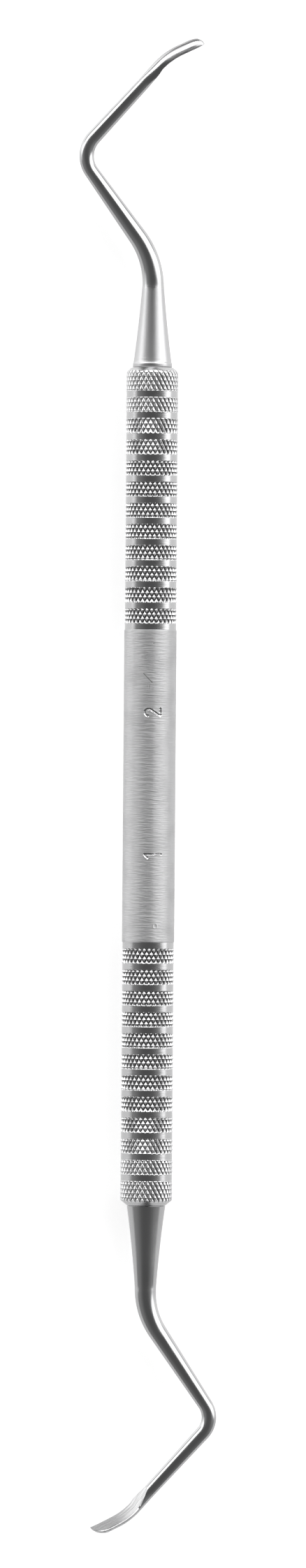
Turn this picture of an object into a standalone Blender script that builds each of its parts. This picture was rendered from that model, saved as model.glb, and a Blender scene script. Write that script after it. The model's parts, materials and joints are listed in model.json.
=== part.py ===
"""Double-ended surgical curette, lying on its side as it comes to rest on a table.

The handle is a round bar along Y, turned with knurled rings near each end and
bored at both ends. A tip is fixed in each bore by its tang: a cone, a shank with
two bends, and a curved blade with a flat face and a round back. Tip 2 points to
+Y with its face turned down, and tip 1 points to -Y with its face turned up, so
each is the other's mirror image. Metres, +Z up, origin under the handle's centre.
"""

import math

import bmesh
import bpy
from mathutils import Matrix, Vector

# Handle: a quarter-inch bar, turned down a little at the bands between its rings
HANDLE_SIDES = 36
BAR_RADIUS = 0.003175
MIDDLE_LENGTH = 0.0379
BAND_WIDTH = 0.00072
BAND_DEPTH = 0.00006
RING_WIDTH = 0.00184
END_RING_WIDTH = 0.0024
RING_COUNT = 12
KNURL_DEPTH = 0.00022
KNURL_ROWS = 3
TIP_1_CHAMFER_HEIGHT = 0.0006
TIP_1_CHAMFER_INSET = 0.0008
TIP_2_CHAMFER_HEIGHT = 0.0005
TIP_2_CHAMFER_INSET = 0.0006

# Seat of a tip in the handle
TANG_RADIUS = 0.0015
TANG_LENGTH = 0.0085
TANG_CLEARANCE = 0.0001
TANG_END_GAP = 0.0003
SHOULDER_GAP = 0.00005

# Shape that both tips share
SECTION_POINTS = 20
FOOT_RADIUS = 0.00234
FOOT_LENGTH = 0.0011
CONE_BASE_RADIUS = 0.00214
CONE_END_RADIUS = 0.00128
LEG_START_RADIUS = 0.00115
ELBOW_RADIUS = 0.00089
REACH_END_RADIUS = 0.00077
BLADE_WIDTH = 0.0023
BLADE_DEPTH = 0.00085
FACE_HEIGHT = 0.0002
FACE_RUNOUT = 0.0018
FACE_START_SHARE = 0.95
ROUND_FOLD_DEGREES = 72.0
TOE_LENGTH = 0.0030
TOE_ROUNDING = 0.0018

# Cone and bends of tip 1, at -Y
TIP_1_CONE_LENGTH = 0.0103
TIP_1_BEND_DEGREES = 33.7
TIP_1_BEND_RADIUS = 0.0090
TIP_1_LEG_LENGTH = 0.0105
TIP_1_ELBOW_DEGREES = 75.8
TIP_1_ELBOW_BEND_RADIUS = 0.00286
TIP_1_REACH_LENGTH = 0.0103
TIP_1_FACE_TILT_DEGREES = 32.0
TIP_1_CURL_DEGREES = 24.5
TIP_1_CURL_RADIUS = 0.0070
TIP_1_TOE_SKEW = 1.0

# Cone and bends of tip 2, at +Y
TIP_2_CONE_LENGTH = 0.0099
TIP_2_BEND_DEGREES = 35.8
TIP_2_BEND_RADIUS = 0.0102
TIP_2_LEG_LENGTH = 0.0096
TIP_2_ELBOW_DEGREES = 78.0
TIP_2_ELBOW_BEND_RADIUS = 0.00334
TIP_2_REACH_LENGTH = 0.0098
TIP_2_FACE_TILT_DEGREES = 26.0
TIP_2_CURL_DEGREES = 23.9
TIP_2_CURL_RADIUS = 0.0078
TIP_2_TOE_SKEW = 0.6

# Corners flatter than these are shaded smooth
HANDLE_SMOOTH_DEGREES = 20.0
TIP_SMOOTH_DEGREES = 35.0

# Fineness of the bends and of the toe
BEND_STEPS = 4
ELBOW_STEPS = 6
RUNOUT_STEPS = 4
CURL_STEPS = 4
TOE_STEPS = 5

# Values that follow from those above
GRIP_LENGTH = RING_COUNT * BAND_WIDTH + (RING_COUNT - 1) * RING_WIDTH + END_RING_WIDTH
TIP_1_SEAT = MIDDLE_LENGTH / 2 + GRIP_LENGTH + TIP_1_CHAMFER_HEIGHT
TIP_2_SEAT = MIDDLE_LENGTH / 2 + GRIP_LENGTH + TIP_2_CHAMFER_HEIGHT
BORE_RADIUS = TANG_RADIUS + TANG_CLEARANCE
BORE_DEPTH = TANG_LENGTH - SHOULDER_GAP + TANG_END_GAP
HALF_SIDE = math.pi / HANDLE_SIDES
AXIS_HEIGHT = BAR_RADIUS * math.cos(HALF_SIDE)
BAND_RADIUS = BAR_RADIUS - BAND_DEPTH
WELD_DISTANCE = 0.000001


def clear_scene():
    """Removes whatever the file holds, such as the startup cube."""
    for item in list(bpy.data.objects):
        bpy.data.objects.remove(item, do_unlink=True)


def new_collection(name):
    """Returns a new collection in the scene, for the finished parts."""
    collection = bpy.data.collections.new(name)
    bpy.context.scene.collection.children.link(collection)
    return collection


def steel(name, color, roughness):
    """Returns a bare steel material of one colour and roughness."""
    material = bpy.data.materials.new(name)
    material.use_nodes = True
    shader = material.node_tree.nodes["Principled BSDF"]
    shader.inputs["Base Color"].default_value = (*color, 1.0)
    shader.inputs["Metallic"].default_value = 1.0
    shader.inputs["Roughness"].default_value = roughness
    return material


def shade(mesh, degrees):
    """Shades a mesh smooth, with its corners sharper than the angle kept crisp."""
    mesh.shade_smooth()
    mesh.set_sharp_from_angle(angle=math.radians(degrees))


def grip_levels():
    """Returns the bands and rings of one grip, outward from the handle's middle.

    Each is its distance from the middle's edge, its width, and whether it is knurled.
    """
    levels = []
    distance = 0.0
    for index in range(RING_COUNT):
        last = index == RING_COUNT - 1
        ring_width = END_RING_WIDTH if last else RING_WIDTH
        levels.append((distance, BAND_WIDTH, False))
        distance += BAND_WIDTH
        levels.append((distance, ring_width, True))
        distance += ring_width
    return levels


def knurl_heights():
    """Returns the height of each row of knurl points, with the row's number.

    The number goes on by one from row to row and from ring to ring, so that each
    row's points lie between those of the row before.
    """
    heights = []
    rings = [level for level in grip_levels() if level[2]]
    for ring, (start, width, _) in enumerate(rings):
        for row in range(1, KNURL_ROWS + 1):
            distance = start + width * row / (KNURL_ROWS + 1)
            heights.append((MIDDLE_LENGTH / 2 + distance, ring + row))
            heights.append((-MIDDLE_LENGTH / 2 - distance, ring + row))
    return heights


def half_profile(seat, chamfer_inset):
    """Returns the handle's outline from the bore's bottom to the middle, as radius and height."""
    chamfered = BAR_RADIUS - chamfer_inset
    points = [
        (0.0, seat - BORE_DEPTH),
        (BORE_RADIUS, seat - BORE_DEPTH),
        (BORE_RADIUS, seat),
        (chamfered, seat),
        (BAR_RADIUS, MIDDLE_LENGTH / 2 + GRIP_LENGTH),
    ]
    for start, width, knurled in reversed(grip_levels()):
        foot = MIDDLE_LENGTH / 2 + start
        if knurled:
            for row in range(KNURL_ROWS, 0, -1):
                points.append((BAR_RADIUS, foot + width * row / (KNURL_ROWS + 1)))
        points.append((BAND_RADIUS, foot))
    points.append((BAR_RADIUS, MIDDLE_LENGTH / 2))
    return points


def press_knurl(body):
    """Presses every other knurl point inward and folds the faces there into diamonds."""
    rows = knurl_heights()
    pressed = set()
    for vert in body.verts:
        radius = math.hypot(vert.co.x, vert.co.y)
        row = next((row for height, row in rows if abs(vert.co.z - height) < WELD_DISTANCE), 0)
        column = round(math.atan2(vert.co.y, vert.co.x) / (2 * HALF_SIDE))
        if row and radius > BORE_RADIUS + WELD_DISTANCE and (row + column) % 2 == 0:
            vert.co.xy *= (radius - KNURL_DEPTH) / radius
            pressed.add(vert)
    for face in list(body.faces):
        low = next((vert for vert in face.verts if vert in pressed), None)
        if low and len(face.verts) == 4:
            corners = list(face.verts)
            opposite = corners[(corners.index(low) + 2) % 4]
            bmesh.utils.face_split(face, low, opposite)


def model_handle(collection):
    """Turns the handle from its outline, then knurls its rings."""
    upper = half_profile(TIP_2_SEAT, TIP_2_CHAMFER_INSET)
    lower = half_profile(TIP_1_SEAT, TIP_1_CHAMFER_INSET)
    outline = upper + [(radius, -height) for radius, height in reversed(lower)]
    wire = bpy.data.meshes.new("handle_outline")
    edges = [(index, index + 1) for index in range(len(outline) - 1)]
    wire.from_pydata([(radius, 0.0, height) for radius, height in outline], edges, [])
    handle = bpy.data.objects.new("handle", wire)
    collection.objects.link(handle)
    turn = handle.modifiers.new("turn", "SCREW")
    turn.steps = HANDLE_SIDES
    turn.render_steps = HANDLE_SIDES
    turn.use_merge_vertices = True
    turn.merge_threshold = WELD_DISTANCE

    graph = bpy.context.evaluated_depsgraph_get()
    turned = bpy.data.meshes.new_from_object(handle.evaluated_get(graph))
    handle.modifiers.clear()
    handle.data = turned
    bpy.data.meshes.remove(wire)
    turned.name = "handle"
    body = bmesh.new()
    body.from_mesh(turned)
    press_knurl(body)
    body.to_mesh(turned)
    body.free()
    shade(turned, HANDLE_SMOOTH_DEGREES)

    # The handle's own Z goes to the world's Y, with one of its flat sides down.
    handle.rotation_mode = "ZYX"
    handle.rotation_euler = (-math.pi / 2, 0.0, HALF_SIDE)
    handle.location = (0.0, 0.0, AXIS_HEIGHT)
    turned.materials.append(steel("handle_steel", (0.56, 0.56, 0.57), 0.32))
    return handle


def section(half_width, back, front, cut, across, height):
    """Returns a closed section as points (x, y), anticlockwise from the cut's +x corner.

    The section is an ellipse half_width wide to each side, with its own depth behind
    and in front, shifted by across and height. What is in front of cut is ground
    flat. Where cut is None the section is whole.
    """
    fold = math.radians(ROUND_FOLD_DEGREES) if cut is None else math.asin(cut / front)
    top = front if cut is None else cut
    points = [(half_width * math.cos(fold), front * math.sin(fold)), (0.0, top)]
    arc_steps = SECTION_POINTS - 2
    span = math.pi + 2 * fold
    for step in range(arc_steps):
        angle = math.pi - fold + span * step / arc_steps
        depth = front if math.sin(angle) > 0 else back
        points.append((half_width * math.cos(angle), depth * math.sin(angle)))
    return [(x + across, y + height) for x, y in points]


def round_section(radius):
    """Returns a round section on the centreline."""
    return section(radius, radius, radius, None, 0.0, 0.0)


class Walk:
    """Carries a frame along a tip's centreline and keeps a section at each stop.

    The frame's x runs across the tip, y to the inside of the elbow, and z forward.
    The sections are turned by the face's tilt all the way, so they never twist.
    """

    def __init__(self, tilt_degrees):
        self.frame = Matrix()
        self.tilt = Matrix.Rotation(math.radians(tilt_degrees), 4, "Z")
        self.rings = []

    def straight(self, length):
        """Goes straight on."""
        self.frame = self.frame @ Matrix.Translation((0.0, 0.0, length))

    def bend(self, radius, degrees):
        """Turns towards y, or away from it where degrees is negative."""
        centre = Vector((0.0, math.copysign(radius, degrees), 0.0))
        turn = Matrix.Rotation(-math.radians(degrees), 4, "X")
        self.frame = self.frame @ Matrix.Translation(centre) @ turn @ Matrix.Translation(-centre)

    def face_up(self):
        """Turns the frame so that y is square to the blade's face from here on."""
        self.frame = self.frame @ self.tilt
        self.tilt = Matrix()

    def ring(self, outline):
        """Keeps a section here."""
        place = self.frame @ self.tilt
        self.rings.append([place @ Vector((x, y, 0.0)) for x, y in outline])


def walk_shank(walk, tip):
    """Lays the tang, the cone, the first bend, the leg, the elbow and the reach."""
    walk.straight(-TANG_LENGTH)
    walk.ring(round_section(TANG_RADIUS))
    walk.straight(TANG_LENGTH)
    walk.ring(round_section(TANG_RADIUS))
    walk.ring(round_section(FOOT_RADIUS))
    walk.straight(FOOT_LENGTH)
    walk.ring(round_section(CONE_BASE_RADIUS))
    walk.straight(tip["cone"] - FOOT_LENGTH)
    walk.ring(round_section(CONE_END_RADIUS))
    for step in range(1, BEND_STEPS + 1):
        walk.bend(tip["bend_radius"], -tip["bend"] / BEND_STEPS)
        share = step / BEND_STEPS
        walk.ring(round_section(CONE_END_RADIUS + (LEG_START_RADIUS - CONE_END_RADIUS) * share))
    walk.straight(tip["leg"])
    walk.ring(round_section(ELBOW_RADIUS))
    for _ in range(ELBOW_STEPS):
        walk.bend(tip["elbow_radius"], tip["elbow"] / ELBOW_STEPS)
        walk.ring(round_section(ELBOW_RADIUS))
    walk.straight(tip["reach"])
    walk.ring(round_section(REACH_END_RADIUS))


def walk_blade(walk, tip):
    """Grinds the face in over the runout, curls the blade and closes its toe.

    The toe's long corner is on the inside of the elbow, which is +x on the tip
    whose tilt is positive and -x on the other. A skew of 0 puts the toe's point in
    the middle of the blade, and 1 puts it at that corner.
    """
    walk.face_up()
    for step in range(1, RUNOUT_STEPS + 1):
        share = step / RUNOUT_STEPS
        walk.straight(FACE_RUNOUT / RUNOUT_STEPS)
        half_width = REACH_END_RADIUS + (BLADE_WIDTH / 2 - REACH_END_RADIUS) * share
        back = REACH_END_RADIUS + (BLADE_DEPTH - REACH_END_RADIUS) * share
        cut = REACH_END_RADIUS * FACE_START_SHARE * (1 - share)
        walk.ring(section(half_width, back, REACH_END_RADIUS, cut, 0.0, FACE_HEIGHT * share))
    for _ in range(CURL_STEPS):
        walk.bend(tip["curl_radius"], tip["curl"] / CURL_STEPS)
        walk.ring(section(BLADE_WIDTH / 2, BLADE_DEPTH, REACH_END_RADIUS, 0.0, 0.0, FACE_HEIGHT))
    walk.straight(TOE_LENGTH - TOE_ROUNDING)
    corner = math.copysign(BLADE_WIDTH / 2, tip["tilt"]) * tip["toe_skew"]
    reached = 0.0
    for step in range(TOE_STEPS):
        share = math.sin(math.pi / 2 * step / TOE_STEPS)
        walk.straight((share - reached) * TOE_ROUNDING)
        reached = share
        left = math.sqrt(1 - share ** 2)
        across = corner * (1 - left)
        outline = section(
            BLADE_WIDTH / 2 * left, BLADE_DEPTH * left, REACH_END_RADIUS, 0.0, across, FACE_HEIGHT
        )
        walk.ring(outline)
    walk.straight((1 - reached) * TOE_ROUNDING)
    return walk.frame @ Vector((corner, FACE_HEIGHT, 0.0))


def loft(name, rings, apex):
    """Returns a closed mesh over the rings, capped at the first and drawn to a point at the last."""
    count = len(rings[0])
    points = [point for ring in rings for point in ring] + [apex]
    faces = [tuple(reversed(range(count)))]
    for ring in range(len(rings) - 1):
        first = ring * count
        for index in range(count):
            after = (index + 1) % count
            faces.append(
                (first + index, first + after, first + count + after, first + count + index)
            )
    last = (len(rings) - 1) * count
    for index in range(count):
        faces.append((last + index, last + (index + 1) % count, len(points) - 1))
    mesh = bpy.data.meshes.new(name)
    mesh.from_pydata(points, [], faces)
    return mesh


def model_tip(collection, name, tip, place):
    """Models one tip about its shoulder and seats it on its end of the handle."""
    walk = Walk(tip["tilt"])
    walk_shank(walk, tip)
    apex = walk_blade(walk, tip)
    mesh = loft(name, walk.rings, apex)
    shade(mesh, TIP_SMOOTH_DEGREES)
    mesh.materials.append(steel(name + "_steel", (0.62, 0.62, 0.63), 0.15))
    tip_object = bpy.data.objects.new(name, mesh)
    tip_object.matrix_world = place
    collection.objects.link(tip_object)
    return tip_object


def seat_matrix(direction, seat):
    """Returns the place of a tip's shoulder, with the tip's z along direction times Y.

    The tip's x goes to the world's Z, and its y to direction times X.
    """
    axes = Matrix(((0, direction, 0), (0, 0, direction), (1, 0, 0))).to_4x4()
    height = Matrix.Translation((0.0, direction * (seat + SHOULDER_GAP), AXIS_HEIGHT))
    return height @ axes


TIP_1 = {
    "cone": TIP_1_CONE_LENGTH,
    "bend": TIP_1_BEND_DEGREES,
    "bend_radius": TIP_1_BEND_RADIUS,
    "leg": TIP_1_LEG_LENGTH,
    "elbow": TIP_1_ELBOW_DEGREES,
    "elbow_radius": TIP_1_ELBOW_BEND_RADIUS,
    "reach": TIP_1_REACH_LENGTH,
    "tilt": -TIP_1_FACE_TILT_DEGREES,
    "curl": TIP_1_CURL_DEGREES,
    "curl_radius": TIP_1_CURL_RADIUS,
    "toe_skew": TIP_1_TOE_SKEW,
}
TIP_2 = {
    "cone": TIP_2_CONE_LENGTH,
    "bend": TIP_2_BEND_DEGREES,
    "bend_radius": TIP_2_BEND_RADIUS,
    "leg": TIP_2_LEG_LENGTH,
    "elbow": TIP_2_ELBOW_DEGREES,
    "elbow_radius": TIP_2_ELBOW_BEND_RADIUS,
    "reach": TIP_2_REACH_LENGTH,
    "tilt": TIP_2_FACE_TILT_DEGREES,
    "curl": TIP_2_CURL_DEGREES,
    "curl_radius": TIP_2_CURL_RADIUS,
    "toe_skew": TIP_2_TOE_SKEW,
}


def main():
    """Models the whole curette."""
    clear_scene()
    parts = new_collection("surgical_curette")
    model_handle(parts)
    model_tip(parts, "tip_1", TIP_1, seat_matrix(-1, TIP_1_SEAT))
    model_tip(parts, "tip_2", TIP_2, seat_matrix(1, TIP_2_SEAT))


main()
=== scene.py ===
"""Visual model of a double-ended surgical curette, lying on a pale floor in soft studio light.

The CAD model is loaded as the frame. Its handle is replaced by a plain middle and two
grips with knurled rings, and its tips by smooth lofts along the same centrelines.
Shapes are worked out in millimetres and come to metres where their mesh is made. The
settings and the stage are in metres.
"""

import json
import math

import bpy
import numpy as np
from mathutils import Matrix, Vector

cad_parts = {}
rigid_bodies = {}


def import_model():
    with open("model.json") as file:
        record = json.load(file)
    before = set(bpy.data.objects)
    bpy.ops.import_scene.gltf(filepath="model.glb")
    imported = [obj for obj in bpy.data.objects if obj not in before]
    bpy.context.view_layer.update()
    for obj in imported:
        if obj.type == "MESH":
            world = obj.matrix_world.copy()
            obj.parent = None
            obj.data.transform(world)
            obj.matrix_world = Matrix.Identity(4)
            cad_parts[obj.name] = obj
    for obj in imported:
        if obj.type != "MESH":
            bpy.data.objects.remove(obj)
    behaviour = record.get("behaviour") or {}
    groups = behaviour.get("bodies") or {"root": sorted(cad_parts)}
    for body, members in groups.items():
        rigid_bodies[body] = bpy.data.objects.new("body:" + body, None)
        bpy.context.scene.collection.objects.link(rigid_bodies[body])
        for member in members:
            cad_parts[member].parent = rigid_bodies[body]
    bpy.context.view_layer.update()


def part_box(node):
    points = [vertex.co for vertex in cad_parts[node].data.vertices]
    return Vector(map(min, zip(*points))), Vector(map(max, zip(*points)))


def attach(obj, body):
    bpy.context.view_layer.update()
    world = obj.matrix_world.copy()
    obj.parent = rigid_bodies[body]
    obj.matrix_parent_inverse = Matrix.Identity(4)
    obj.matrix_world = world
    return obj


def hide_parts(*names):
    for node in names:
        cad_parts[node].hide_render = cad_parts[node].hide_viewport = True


bl_info = {
    "name": "Surgical curette",
    "version": (1, 0, 0),
    "blender": (4, 5, 0),
    "location": "3D View > Sidebar > Curette",
    "description": "Builds the handle, the tips and the stage of a surgical curette",
    "category": "Object",
}

for startup_object in list(bpy.data.objects):
    bpy.data.objects.remove(startup_object, do_unlink=True)

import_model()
HANDLE_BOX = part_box("handle")
MM = 1000.0

# Handle, as in the CAD model
AXIS_HEIGHT = HANDLE_BOX[1].z * MM / 2
MIDDLE_LENGTH = 37.9
BAND_WIDTH = 0.72
RING_WIDTH = 1.84
END_RING_WIDTH = 2.4
RING_COUNT = 12
GRIP_LENGTH = RING_COUNT * BAND_WIDTH + (RING_COUNT - 1) * RING_WIDTH + END_RING_WIDTH
SEATS = {1: -HANDLE_BOX[0].y * MM, 2: HANDLE_BOX[1].y * MM}
BORE_RADIUS = 1.6
BORE_DEPTH = 8.75
SHOULDER_GAP = 0.05
SIDES = {1: -1.0, 2: 1.0}

# Widths of the small slopes at the edges of the middle and the rings, and of the strip
# along a ring's edge where the knurl sets in
MIDDLE_EDGE = 0.17
RING_EDGE = 0.12
KNURL_EDGE = 0.1

# End of each grip, as distance past the last ring's edge and depth under the bar. It has
# more rows past that edge, the rows at the rings' edges stop GRIP_END_START before it, and
# the knurl stops KNURL_STOP past it.
GRIP_ENDS = {
    1: ((-0.08, 0.0), (0.0, 0.07), (0.6, 0.82)),
    2: (
        (-0.6, 0.0),
        (-0.35, 0.02),
        (-0.1, 0.065),
        (0.0, 0.11),
        (0.15, 0.235),
        (0.32, 0.405),
        (0.5, 0.62),
    ),
}
GRIP_END_ROWS = (0.05, 0.1, 0.15, 0.2)
GRIP_END_START = 0.7
KNURL_STOP = 0.16

# Knurl: diamonds round the handle, rows and columns of cells in each, half of a diamond's
# height along the handle, and the pattern's place along and round it. Its rows keep a
# margin from the rings' edges, and where two rows nearly meet, one is left out.
DIAMONDS = 32
DIAMOND_CELLS = 8
HALF_DIAMOND = 0.5255
LATTICE_PHASES = {1: 0.42, 2: 0.813}
KNURL_TURN = math.radians(2.5)
LATTICE_MARGIN = 0.14
LEAST_ROW_GAP = 0.02

# Form of the knurl, with depths as shares of the knurl depth: plain pyramids with a small
# flat top up to the first distance from the middle's edge, worn diamonds from the second
# on. A worn groove's depth goes by the share of the way from between two lines to the
# line, and from WORN_DEPTH on a hollow there counts as full.
WEAR_REACH = (20.0, 27.0)
PYRAMID_DEPTH = 1.1
PYRAMID_TOP = 0.06
WORN_DEPTH = 0.56
WORN_FORWARD = ((0.0, 0.16, 0.6, 1.0), (0.0, 0.12, 0.22, 0.62))
WORN_BACKWARD = ((0.0, 0.16, 0.7, 1.0), (0.0, 0.12, 0.24, 0.46))

# Spacing of the plain middle's rows and, in radians, of its columns, and the stretches
# where they are close together
ROW_STEP = 0.5
CLOSE_ROW_STEP = 0.036
CLOSE_ROWS = ((8.2, 9.75), (-9.0, -7.95), (12.4, 13.85), (17.1, 17.5), (-17.5, -16.5))
MIDDLE_EDGE_ROWS = (0.03, 0.06, 0.11, MIDDLE_EDGE)
LEAST_MIDDLE_GAP = 0.012
COLUMN_STEP = 0.06
CLOSE_COLUMN_STEP = 0.0115
CLOSE_COLUMNS = (-0.34, 0.62)

# Marks in the plain middle, at places (across, along), none further across than
# MARK_REACH. A digit's metal is smooth up to STROKE_FINISH from a stroke's line.
MARK_REACH = 3.0
STROKE_RADIUS = 0.14
STROKE_LIP = 0.18
STROKE_LIP_WIDTH = 0.06
STROKE_LIP_HEIGHT = 0.1
STROKE_FINISH = 0.24
STROKE_FINISH_FADE = 0.08
SCRATCH = ((-0.81, 13.63), (0.22, 12.53))
SCRATCH_WIDTH = 0.05
SCRATCH_DEPTH = 0.018
SCRATCH_SHADE_WIDTH = 0.06
PITS = ((-0.12, 12.02), (0.4, 17.27))
PIT_WIDTH = 0.07
PIT_DEPTH = 0.03
DENT = (0.83, -16.95)
DENT_ALONG_SCALE = 0.9
DENT_WIDTH = 0.2
DENT_DEPTH = 0.035
DENT_RIM = 0.26
DENT_RIM_WIDTH = 0.08
DENT_RIM_HEIGHT = 0.02


def arc(centre, half_across, half_along, start, end, steps):
    """Returns points on an ellipse, from start to end in degrees from the -along side."""
    angle = np.radians(np.linspace(start, end, steps))
    across = centre[0] - half_across * np.sin(angle)
    along = centre[1] - half_along * np.cos(angle)
    return list(zip(across, along))


DIGIT_TWO = (
    arc((-0.13, 8.9), 0.48, 0.42, 12.0, 205.0, 12) + [(1.19, 8.55), (1.32, 8.54)],
    [(1.32, 8.54), (1.32, 9.38)],
)
DIGIT_ONE = (
    [(-0.56, -8.30), (1.53, -8.245)],
    [(-0.56, -8.30), (-0.17, -8.70)],
)

# Tips, as in the CAD model
TANG_RADIUS = 1.5
TANG_LENGTH = 8.5
CONE_CURVE_LENGTH = 9.9
LEG_START_RADIUS = 1.15
ELBOW_RADIUS = 0.89
REACH_END_RADIUS = 0.77
BLADE_WIDTH = 2.3
FACE_HEIGHT = 0.2
TOE_LENGTH = 3.0
TOE_ROUNDING = 1.8

# Blade's face: how far it takes to run out of the round shank, the share of the shank's
# radius at which it starts, its bevel, and the share of the half face that the bevel takes
FACE_RUNOUT = 2.7
FACE_START_SHARE = 0.95
FACE_EDGE = 0.06
RIM_SHARE = 0.1

# Each tip's lengths, angles in degrees and radii of its centreline, from the handle on.
# "curve" is the cone's end radius, its slope and its bow, and "foot" gives the distances
# and radii where the cone starts. "tilt" turns the blade about its own line, "toe_skew"
# moves the toe's point towards a side, "toe_fullness" is the power of its outline, and
# "depth" is the depth of the blade's back. "satin" says where the satin cone ends, over
# which length it fades, and how satin it is.
TIPS = {
    1: {
        "cone": 10.3,
        "curve": (1.30, 0.6956, 0.339),
        "foot": ((0.0, 2.29), (0.02, 2.315), (0.05, 2.33)),
        "bend": 33.7,
        "bend_radius": 9.0,
        "leg": 10.5,
        "elbow": 75.8,
        "elbow_radius": 2.86,
        "reach": 9.4,
        "tilt": -32.0,
        "curl": 24.5,
        "curl_radius": 7.0,
        "toe_skew": 1.0,
        "toe_fullness": 2.0,
        "depth": 0.85,
        "satin": (9.0, 2.5, 0.35),
    },
    2: {
        "cone": 9.9,
        "curve": (1.31, 0.76, 0.31),
        "foot": (
            (0.0, 2.33),
            (0.03, 2.36),
            (0.08, 2.372),
            (0.38, 2.372),
            (0.47, 2.352),
            (0.58, 2.31),
            (0.72, 2.283),
            (0.9, 2.257),
            (1.04, 2.2435),
        ),
        "bend": 35.8,
        "bend_radius": 10.2,
        "leg": 9.6,
        "elbow": 78.0,
        "elbow_radius": 3.34,
        "reach": 8.9,
        "tilt": 24.0,
        "curl": 23.9,
        "curl_radius": 7.8,
        "toe_skew": 0.6,
        "toe_fullness": 2.8,
        "depth": 0.97,
        "satin": (10.4, 1.2, 0.85),
    },
}

# Steps of the tips' sections: in a bend, in a straight stretch, and in each of the blade's
# three stretches. A section's points start with those of its face, from PLAIN_FOLD on
# where nothing is ground. The toe ends in a point of POINT_RADIUS.
BEND_STEPS = 32
STRAIGHT_STEPS = 40
BLADE_STEPS = 40
SECTION_POINTS = 72
FACE_POINTS = 18
PLAIN_FOLD = math.radians(72.0)
POINT_RADIUS = 1e-3

# Ground stretch at the end of each blade: its length, how gently it sets in, and how far
# the back is ground, where the face is 1. The satin cone sets in just before the seat.
GROUND_LENGTH = 6.0
GROUND_FADE = 1.5
GROUND_BACK = 0.7
SEAT_FADE = 0.1

# Finishes: brightness of the steel against its colour, some of it painted light as said at each,
# and roughness
# Painted sheen: the satin middle's colour is raised well above the steel's, a little less where
# worn
SATIN_SHEEN_TINTS = (1.36, 1.3)
MARK_TINT = 0.5
STAMP_ROUGHNESS = 0.16
# Painted sheen on the bands and the knurl's tops, a little lighter, and a painted highlight on
# its flanks, much lighter
KNURL_TOP_SHEEN = 1.06
KNURL_FLANK_HIGHLIGHT = 1.42
# Painted shade in the knurl's grooves: their colour is darkened
GROOVE_SHADE_TINT = 0.28
STREAK_TINTS = (1.2, 0.84)
STREAK_ROUGHNESSES = (0.2, 0.5)
CONE_ROUGHNESS = 0.36

# Camera: straight above the handle, turned by the small lean of the photograph
CAMERA_LENS = 250.0
CAMERA_SENSOR = 36.0
PICTURE_LENGTH = 0.19018
CAMERA_PLACE = (0.00045, 0.0002575)
CAMERA_LEAN = math.radians(0.4435)

# Floor: how strongly it shines to the camera, where 1 is white, and its roughness
FLOOR_GLOW = 0.6
FLOOR_ROUGHNESS = 0.9

# Brightness of the painted world, where 1 is white: overhead and at its sides, the low
# light on the left, the ground toward tip 1 and tip 2, what the patch adds to it, the gap
# and the dark line
OVERHEAD_LEVELS = (0.105, 0.28)
LEFT_LEVEL = 0.8
GROUND_LEVELS = (0.72, 1.05)
PATCH_LEVEL = 0.4
GAP_LEVEL = 0.22
LINE_LEVEL = 0.2


class CurettePieces(bpy.types.PropertyGroup):
    """Sizes and colours of the curette's pieces."""

    knurl_depth: bpy.props.FloatProperty(
        name="Knurl depth",
        description="Depth of the grooves between the knurl's points",
        default=0.00021,
        subtype="DISTANCE",
        unit="LENGTH",
    )
    band_depth: bpy.props.FloatProperty(
        name="Band depth",
        description="How far the bands between the rings lie under the bar's surface",
        default=0.00006,
        subtype="DISTANCE",
        unit="LENGTH",
    )
    stamp_depth: bpy.props.FloatProperty(
        name="Stamp depth",
        description="Depth of the digits stamped in the handle's middle",
        default=0.00011,
        subtype="DISTANCE",
        unit="LENGTH",
    )
    handle_color: bpy.props.FloatVectorProperty(
        name="Handle colour",
        description="Colour of the handle's steel",
        default=(0.585, 0.585, 0.59),
        subtype="COLOR",
        size=3,
        min=0.0,
        max=1.0,
    )
    tip_color: bpy.props.FloatVectorProperty(
        name="Tip colour",
        description="Colour of the tips' steel",
        default=(0.6, 0.6, 0.605),
        subtype="COLOR",
        size=3,
        min=0.0,
        max=1.0,
    )
    satin_roughness: bpy.props.FloatProperty(
        name="Satin roughness",
        description="Roughness of the handle's plain middle",
        default=0.47,
        subtype="FACTOR",
        min=0.0,
        max=1.0,
    )
    polish_roughness: bpy.props.FloatProperty(
        name="Polish roughness",
        description="Roughness of the bands, the knurl and the shanks",
        default=0.18,
        subtype="FACTOR",
        min=0.0,
        max=1.0,
    )


class CuretteStage(bpy.types.PropertyGroup):
    """Sizes and colours of the floor and the light."""

    floor_size: bpy.props.FloatProperty(
        name="Floor size",
        description="Length of the square floor's side",
        default=8.0,
        subtype="DISTANCE",
        unit="LENGTH",
    )
    floor_color: bpy.props.FloatVectorProperty(
        name="Floor colour",
        description="Colour of the floor",
        default=(0.8, 0.8, 0.8),
        subtype="COLOR",
        size=3,
        min=0.0,
        max=1.0,
    )
    back_light: bpy.props.FloatProperty(
        name="Back light",
        description="Brightness of the large soft light beyond tip 2",
        default=2.4,
        min=0.0,
    )


# Meshes


def with_middles(values):
    """Returns one value per point: those of all rows, then the means of both end rows."""
    ends = np.stack([values[0].mean(axis=0), values[-1].mean(axis=0)])
    return np.concatenate([values.reshape(-1, *values.shape[2:]), ends])


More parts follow.
